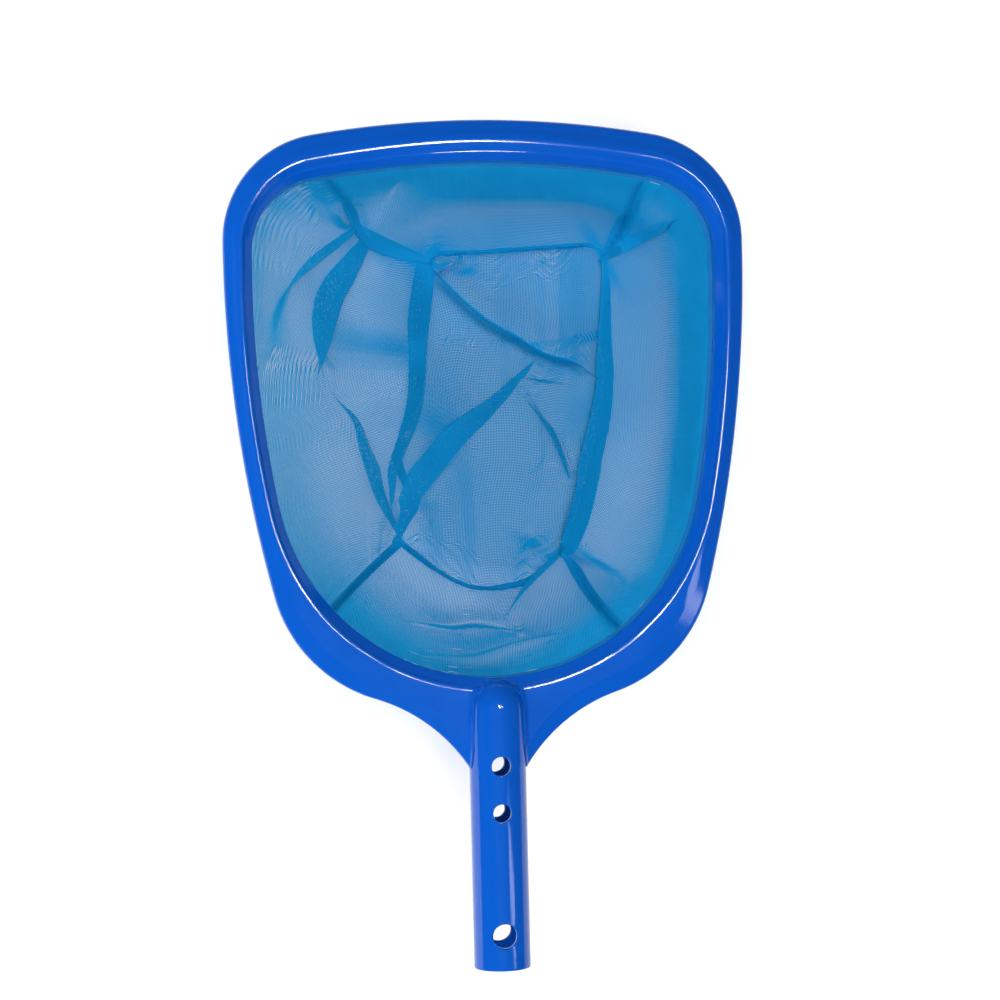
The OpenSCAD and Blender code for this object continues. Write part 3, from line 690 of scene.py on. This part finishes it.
def line_offsets(plan, line):
    """For each point: its signed distance from a bent line, its share along it, the direction
    away from it, and how far the point lies past the line's ends."""
    best = np.full(plan.shape[:-1], np.inf)
    side, along, past = np.zeros((3, *best.shape))
    across = np.zeros(plan.shape)
    for k, (a, b) in enumerate(zip(line, line[1:])):
        long = np.linalg.norm(b - a)
        u = (b - a) / long
        right = np.array([u[1], -u[0]])
        run = ((plan - a) @ u) / long
        t = np.clip(run, 0, 1)
        reach = plan - (a + t[..., None] * (b - a))
        away = np.linalg.norm(reach, axis=-1)
        near = away < best
        before = np.maximum(0, -run[near]) * (k == 0)
        after = np.maximum(0, run[near] - 1) * (k == len(line) - 2)
        beyond = long * (before + after)
        # past the ends the distance is from the line run on, and there and close to the line
        # its own side is the direction
        offset = (plan[near] - a) @ right
        best[near] = away[near]
        side[near] = np.where(beyond > 0, offset, np.sign(offset) * away[near])
        along[near] = (k + t[near]) / (len(line) - 1)
        past[near] = beyond
        outward = reach[near] * (np.sign(offset) / np.maximum(away[near], 0.1))[:, None]
        across[near] = np.where(((beyond == 0) & (away[near] > 0.5))[:, None], outward, right)
    return side, along, across, past


def fold_moves():
    """How far the folds, laid one after another, move the slack cloth at each place in plan."""
    plan = np.stack(np.meshgrid(fold_x, fold_y, indexing="ij"), -1)
    move = np.zeros((*plan.shape[:2], 3))
    for points, widths, crisp in pleats:
        line, widths = curved(points, widths)
        d, along, across, past = line_offsets(plan + move[..., :2], line)
        end = np.clip(1 - past / pleat_end, 0, 1)
        w = np.interp(along, np.linspace(0, 1, len(line)), widths) * end * end * (3 - 2 * end)
        w = np.maximum(1e-3, w)
        clip = d / (1 + np.abs(d / w) ** crisp) ** (1 / crisp)
        fade = np.clip(1 - (np.maximum(0, np.abs(d) - w) / pull) ** 2, 0, 1) ** 2
        move[..., :2] -= across * (2 * clip * fade)[..., None]
        move[..., 2] -= layer_gap * clip / np.maximum(w, 1) * fade
    for points, (left, right), height in ridges:
        line, _ = curved(points, [1] * len(points))
        d, along, _, _ = line_offsets(plan + move[..., :2], line)
        ends = np.clip(np.minimum(along, 1 - along) * 5, 0, 1)
        move[..., 2] += height * ends * np.exp(-(d / np.where(d < 0, left, right)) ** 2)
    return move


fold_field = fold_moves()
fold_change = sum((np.diff(fold_field, axis=k, append=0) ** 2).sum(-1) for k in (0, 1))
fold_slope = np.sqrt(fold_change) / fold_step


def at_plan(grid, p):
    """Values of a grid over the plan at points, interpolated."""
    x = np.clip((p[..., 0] - fold_x[0]) / fold_step, 0, len(fold_x) - 1.001)
    y = np.clip((p[..., 1] - fold_y[0]) / fold_step, 0, len(fold_y) - 1.001)
    i, j = x.astype(int), y.astype(int)
    a, b = (x - i)[..., None], (y - j)[..., None]
    this_row = grid[i, j] * (1 - a) + grid[i + 1, j] * a
    next_row = grid[i, j + 1] * (1 - a) + grid[i + 1, j + 1] * a
    return this_row * (1 - b) + next_row * b


def with_folds(p):
    """Moves points of the bag into its pleats and ridges, less and less towards the hem."""
    loose = np.clip((bag_top - held_drop - p[..., 2]) / slack_drop, 0, 1)
    return p + at_plan(fold_field, p) * (loose * loose * (3 - 2 * loose))[..., None]


def near_fold(p):
    """Whether each point lies on a fold or within a few millimetres of one."""
    around = fold_reach * np.array([(0, 0), (1, 0), (-1, 0), (0, 1), (0, -1)])
    slopes = [at_plan(fold_slope[..., None], p[..., :2] + shift)[..., 0] for shift in around]
    return np.max(slopes, axis=0) > fold_steep


def unit(v):
    return v / np.maximum(1e-9, np.linalg.norm(v, axis=-1, keepdims=True))


def surface_out(surface, f, v, h=0.01):
    """Direction out of the bag on a surface, from points h to either side."""
    df = surface(np.clip(f + h, 0, 1), v) - surface(np.clip(f - h, 0, 1), v)
    dv = surface(f, np.clip(v + h, 0, 1)) - surface(f, np.clip(v - h, 0, 1))
    return unit(np.cross(df, dv))


def cloth_lengths(cloth):
    """Lengths along a grid of folded cloth from its middle lines, both ways, and the width,
    length and area of the cloth with what its folds take up."""
    nf, nv = cloth.shape[:2]
    step_f, step_v = np.diff(cloth, axis=0), np.diff(cloth, axis=1)
    area = np.linalg.norm(np.cross(step_f[:, 1:], step_v[1:]), axis=-1).sum()
    step_f, step_v = np.linalg.norm(step_f, axis=-1), np.linalg.norm(step_v, axis=-1)
    along = np.concatenate([np.zeros((1, nv)), np.cumsum(step_f, axis=0)])
    along -= along[nf // 2:nf // 2 + 1]
    down = np.concatenate([np.zeros((nf, 1)), np.cumsum(step_v, axis=1)], axis=1)
    down -= down[:, nv // 2:nv // 2 + 1]
    return along, down, (step_f.sum(0).max(), step_v.sum(1).max()), area


def level_runs(field, across_f):
    """Threads along the even levels of a field over the cloth, as runs of points (f, v)."""
    first, last = math.ceil(field.min() / thread_pitch), math.floor(field.max() / thread_pitch)
    levels = np.arange(first, last + 1) * thread_pitch
    lines = field.T if across_f else field
    travel = np.linspace(0, 1, lines.shape[0])
    ticks = np.linspace(0, 1, lines.shape[1])
    hits = np.full((len(levels), lines.shape[0]), np.nan)
    for j, line in enumerate(lines):
        hits[:, j] = np.interp(levels, line, ticks, left=np.nan, right=np.nan)
    runs = []
    for row in hits:
        good = ~np.isnan(row)
        edges = np.flatnonzero(np.diff(np.concatenate([[0], good.astype(int), [0]])))
        for a, b in zip(edges[::2], edges[1::2]):
            if b - a >= shortest_run:
                runs.append(np.stack([row[a:b], travel[a:b]] if across_f else [travel[a:b], row[a:b]], -1))
    return runs


def thinned(runs, surface):
    """The runs with fewer points where the cloth has no fold."""
    f, v = np.concatenate(runs).T
    near = near_fold(surface(f, v))
    thin, start = [], 0
    for run in runs:
        n = len(run)
        k = np.arange(n)
        thin.append(run[(k % keep_every == 0) | near[start:start + n] | (k == n - 1)])
        start += n
    return thin


def thread_tubes(runs, surface):
    """Points and faces of a closed three-sided tube along each run, laid in the folded cloth."""
    def folded(f, v):
        return with_folds(surface(f, v))

    f, v = np.concatenate(runs).T
    p, out = folded(f, v), surface_out(folded, f, v, h=0.003)
    points, faces, start = [], [], 0
    for run in runs:
        n, first = len(run), 3 * start
        q, m = p[start:start + n], out[start:start + n]
        start += n
        t = unit(np.gradient(q, axis=0))
        u = unit(np.cross(t, m))
        w = np.cross(u, t)
        side, foot, rise = u * thread_w / 2, w * thread_w * tube_foot, w * thread_w * tube_rise
        rings = np.stack([q + side - foot, q + rise, q - side - foot], 1)
        points.append(rings.reshape(-1, 3))
        k = np.arange(n - 1)[:, None] * 3 + first
        j = np.arange(3)[None, :]
        a, b = k + j, k + (j + 1) % 3
        faces.extend(np.stack([a, b, b + 3, a + 3], -1).reshape(-1, 4).tolist())
        last = first + 3 * n - 1
        faces += [[first, first + 1, first + 2], [last, last - 1, last - 2]]
    return np.concatenate(points), faces


def net_panel(surface, size, angle):
    """One panel: surface(f, v) is its shape, size its rough width and length, and angle turns
    the threads in the cloth. Returns its points, faces, width and length, and area."""
    ends_f, ends_v = (np.linspace(0, 1, int(length / cloth_step)) for length in size)
    cloth = with_folds(surface(*np.meshgrid(ends_f, ends_v, indexing="ij")))
    along, down, cut, area = cloth_lengths(cloth)
    c, s = math.cos(math.radians(angle)), math.sin(math.radians(angle))
    runs = level_runs(along * c - down * s, True) + level_runs(along * s + down * c, False)
    for edge in (0.0, 1.0):
        runs.append(np.stack([ends_f, edge + 0 * ends_f], -1))
        runs.append(np.stack([edge + 0 * ends_v, ends_v], -1))
    return *thread_tubes(thinned(runs, surface), surface), cut, area


def thread_material():
    """Blue nylon thread, uneven in its dye, with a dull gloss, which lets some light through."""
    material, n, link, shader = new_material("blue_nylon_thread")
    shader.inputs["Roughness"].default_value = 0.5
    shader.inputs["Specular IOR Level"].default_value = 0.15
    cloth = n.new("ShaderNodeGroup")
    cloth.node_tree = weave
    colour = two_tone(n, light=(0.006, 0.345, 0.77), dark=(0.003, 0.295, 0.69))
    link(cloth.outputs["Dye"], colour.inputs["Factor"])
    link(colour.outputs["Result"], shader.inputs["Base Color"])
    through, both = n.new("ShaderNodeBsdfTranslucent"), n.new("ShaderNodeMixShader")
    through.inputs["Color"].default_value = (0.03, 0.98, 0.90, 1)
    both.inputs["Fac"].default_value = 0.3
    link(shader.outputs["BSDF"], both.inputs[1])
    link(through.outputs["BSDF"], both.inputs[2])
    link(both.outputs["Shader"], n["Material Output"].inputs["Surface"])
    return material


def wall(side):
    """The shape of one wall, from the lip's clockwise."""
    return lambda f, v: wall_surface(side, f, v)


nylon = thread_material()
# Each panel: its piece, its node, its shape, its rough size and the turn of its threads
panels = [
    ("net_floor", "bag_floor", floor_surface, (118, 190), 2.0),
    ("net_lip_wall", "bag_lip_wall", wall(0), (150, 78), 0.0),
    ("net_right_wall", "bag_right_wall", wall(1), (215, 85), 6.0),
    ("net_heel_wall", "bag_heel_wall", wall(2), (130, 100), 0.0),
    ("net_left_wall", "bag_left_wall", wall(3), (215, 110), -22.0),
]
for name, node, surface, size, angle in panels:
    net_points, net_faces, cut, area = net_panel(surface, size, angle)
    net = mesh_piece(name, net_points, net_faces)
    net.data.materials.append(nylon)
    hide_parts(node)
    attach(net, "root")

# ---- The seams ----
# Where two panels meet, their edges are folded over together and sewn down, so each seam
# is a narrow band of three layers of net that follows the bag's edge.

# How thick a seam is, how far it lies off the net, how much further it does at its crest, and
# its thickness from edge to edge as shares
seam_t, seam_lift, crest_lift, seam_shape = 0.8, 0.35, 1.3, [0.55, 0.95, 1.0, 0.95, 0.55]
# The seam's colour is darker than a thread's: partly the close layered net's own, partly painted shade
# between its three layers
seam_cloth_painted_shade = woven("seam_cloth_painted_shade", light=(0.002, 0.15, 0.48), dark=(0.001, 0.12, 0.41),
                   threads=800.0, depth=0.00025)
# Half of each seam's width: down a corner from the hem, or clockwise along the floor's edge
corner_seams = [("lip_right", [1.8, 2.2, 2.6, 4.0, 3.4]), ("heel_right", [2.4, 2.8, 2.9, 2.9, 3.0]),
                ("heel_left", [2.0, 2.2, 2.2, 2.2, 2.4]), ("lip_left", [1.6, 2.2, 3.6, 6.4, 4.4])]
floor_seams = [("floor_lip", [2.0, 1.3, 1.2, 1.2, 1.0]), ("floor_right", [3.0, 5.0, 6.4, 7.4, 7.8]),
               ("floor_heel", [3.0, 2.2, 0.7, 0.9, 2.2]), ("floor_left", [1.4, 1.4, 1.6, 2.2, 2.6])]


def along_seam(f, halves):
    return np.interp(f, np.linspace(0, 1, len(halves)), halves)


def folded_band(name, left, middle, right):
    """A closed band over an edge; left and right are (points, directions out of the bag)."""
    crest = unit(left[1] + right[1])
    top = middle + crest * seam_lift * crest_lift
    spots = [left[0] + left[1] * seam_lift, top, right[0] + right[1] * seam_lift]
    ways = [left[1], crest, right[1]]
    under, up = spots[:1], ways[:1]
    for k in (0, 1):
        under += [(spots[k] + spots[k + 1]) / 2, spots[k + 1]]
        up += [unit(ways[k] + ways[k + 1]), ways[k + 1]]
    over = [p + d * seam_t * t for p, d, t in zip(under, up, seam_shape)]
    rows = np.stack([with_folds(x) for x in under + over[::-1]], 1)
    n, m = rows.shape[:2]
    k, j = np.meshgrid(np.arange(n - 1), np.arange(m), indexing="ij")
    a, b = k * m + j, k * m + (j + 1) % m
    faces = np.stack([a, b, b + m, a + m], -1).reshape(-1, 4).tolist()
    faces += [list(range(m)), list(range(n * m - 1, n * m - m - 1, -1))]
    return mesh_piece(name, rows.reshape(-1, 3), faces)


def wall_run(side, v):
    """How long a wall is, straight from corner to corner, at v down it."""
    one = np.ones_like(v)
    return np.linalg.norm(wall(side)(one, v) - wall(side)(0 * one, v), axis=-1)


for corner, (name, halves) in enumerate(corner_seams):
    after_corner = (corner + 1) % 4
    this, other = wall(corner), wall(after_corner)
    v = np.linspace(0.01, 0.985, 60)
    half = along_seam(v, halves)
    before, after = 1 - half / wall_run(corner, v), half / wall_run(after_corner, v)
    seam = folded_band("seam_" + name, (other(after, v), surface_out(other, after, v)),
                       this(np.ones_like(v), v), (this(before, v), surface_out(this, before, v)))
    seam.data.materials.append(seam_cloth_painted_shade)
    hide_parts("seam_" + name)
    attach(seam, "root")

# The floor's rough length and width, and the share of a wall by its foot that gives its slope
floor_length, floor_width, foot = 166, 105, 0.02
for side, (name, halves) in enumerate(floor_seams):
    this = wall(side)
    f = np.linspace(0.0, 1.0, 80)
    half = along_seam(f, halves)
    one = np.ones_like(f)
    low = 1 - foot * half / np.linalg.norm(this(f, one) - this(f, (1 - foot) * one), axis=-1)
    long = wall_run(side, np.ones(1))[0]
    g = np.clip(f, half[0] / long, 1 - half[-1] / long)
    inset = half / (floor_length if side % 2 == 0 else floor_width)
    on_floor = [(g, inset), (1 - inset, g), (1 - g, 1 - inset), (inset, 1 - g)][side]
    seam = folded_band("seam_" + name, (this(f, low), surface_out(this, f, low)), this(f, one),
                       (floor_surface(*on_floor), np.tile([0, 0, -1.0], (len(f), 1))))
    seam.data.materials.append(seam_cloth_painted_shade)
    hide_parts("seam_" + name)
    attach(seam, "root")

# ---- The table, the lights and the camera ----
# A table of plain white paper under the bag, soft boxes round the net and a camera that
# looks down into it.

table_z, table_half = -88, 4000
table_corners = [(x * table_half, y * table_half, table_z) for x, y in ((-1, -1), (1, -1), (1, 1), (-1, 1))]
table = mesh_piece("table", table_corners, [(0, 1, 2, 3)], smooth=False)
paper, nodes, link, shader = new_material("white_paper")
shader.inputs["Base Color"].default_value = (0.95, 0.95, 0.945, 1)
shader.inputs["Roughness"].default_value = 0.9
shader.inputs["Specular IOR Level"].default_value = 0.1
fibre = nodes.new("ShaderNodeTexNoise")
fibre.inputs["Scale"].default_value = 400
grain = nodes.new("ShaderNodeBump")
grain.inputs["Strength"].default_value = 0.05
grain.inputs["Distance"].default_value = 0.0002
link(fibre.outputs["Fac"], grain.inputs["Height"])
link(grain.outputs["Normal"], shader.inputs["Normal"])
# Away from the net, between these distances in metres, the table fades to plain white, for
# the camera alone
near_white, far_white = 0.55, 1.1
spot = nodes.new("ShaderNodeTexCoord")
away = nodes.new("ShaderNodeVectorMath")
away.operation = "LENGTH"
fade = nodes.new("ShaderNodeMapRange")
fade.inputs["From Min"].default_value = near_white
fade.inputs["From Max"].default_value = far_white
seen = nodes.new("ShaderNodeMath")
seen.operation = "MULTIPLY"
eye_rays = nodes.new("ShaderNodeLightPath")
bright = nodes.new("ShaderNodeEmission")
bright.inputs["Color"].default_value = (1, 1, 1, 1)
blend = nodes.new("ShaderNodeMixShader")
link(spot.outputs["Object"], away.inputs[0])
link(away.outputs["Value"], fade.inputs["Value"])
link(fade.outputs["Result"], seen.inputs[0])
link(eye_rays.outputs["Is Camera Ray"], seen.inputs[1])
link(seen.outputs["Value"], blend.inputs["Fac"])
link(shader.outputs["BSDF"], blend.inputs[1])
link(bright.outputs["Emission"], blend.inputs[2])
link(blend.outputs["Shader"], nodes["Material Output"].inputs["Surface"])
table.data.materials.append(paper)

# The studio is white to the camera, and dim for what it lights
world = bpy.data.worlds.new("studio")
bpy.context.scene.world = world
world.use_nodes = True
nodes, link = world.node_tree.nodes, world.node_tree.links.new
sky = nodes["Background"]
sky.inputs["Color"].default_value = (1, 1, 1, 1)
sky.inputs["Strength"].default_value = 0.07
white = nodes.new("ShaderNodeBackground")
white.inputs["Color"].default_value = (1, 1, 1, 1)
rays = nodes.new("ShaderNodeLightPath")
choose = nodes.new("ShaderNodeMixShader")
link(rays.outputs["Is Camera Ray"], choose.inputs["Fac"])
link(sky.outputs["Background"], choose.inputs[1])
link(white.outputs["Background"], choose.inputs[2])
link(choose.outputs["Shader"], nodes["World Output"].inputs["Surface"])


def soft_box(name, place, aim, size, power):
    """A rectangular soft box at a place, turned to its aim, both in metres."""
    data = bpy.data.lights.new(name, "AREA")
    data.shape = "RECTANGLE"
    data.size, data.size_y = size
    data.energy = power
    lamp = bpy.data.objects.new(name, data)
    bpy.context.scene.collection.objects.link(lamp)
    lamp.location = place
    lamp.rotation_euler = (Vector(aim) - Vector(place)).to_track_quat("-Z", "Y").to_euler()
    return lamp


middle = (0, 0.25, 0)
# These light the net and the table, and leave no mark on the glossy plastic
for fill in (soft_box("box_overhead", (-0.1, 0.32, 2.1), middle, (1.8, 1.8), 60),
             soft_box("box_front", (0.0, -1.5, 0.75), middle, (1.2, 0.4), 18),
             soft_box("box_left", (-1.6, 0.3, 0.65), middle, (0.8, 0.4), 16)):
    fill.visible_glossy = False
# These draw the thin lights on the hoop's ridge and down the handle
for gleam in (soft_box("strip_lip", (0.11, 0.29, 1.35), middle, (0.30, 0.12), 5),
              soft_box("strip_corner", (0.36, 0.29, 1.35), middle, (0.08, 0.10), 1.2),
              soft_box("strip_handle", (1.11, -0.21, 1.35), (0, 0.05, 0), (0.12, 0.6), 1.2)):
    gleam.visible_diffuse = False

camera = bpy.data.objects.new("camera", bpy.data.cameras.new("camera"))
bpy.context.scene.collection.objects.link(camera)
bpy.context.scene.camera = camera
# Where the camera stands and what it looks at, in metres, how far its picture leans in
# degrees, and half the picture's width at a distance of 1
stand, target = Vector((-0.160, 0.214, 1.238)), Vector((0.0044, 0.2364, 0.0))
lean, half_picture = 1.24, 0.2034
back = (stand - target).normalized()
right = Vector((math.cos(math.radians(lean)), -math.sin(math.radians(lean)), 0))
right = (right - back * right.dot(back)).normalized()
turned = Matrix((right, back.cross(right), back)).transposed()
camera.matrix_world = Matrix.Translation(stand) @ turned.to_4x4()
camera.data.sensor_width = 36
camera.data.angle = 2 * math.atan(half_picture)
camera.data.clip_start, camera.data.clip_end = 0.05, 20
bpy.context.scene.view_settings.view_transform = "Standard"
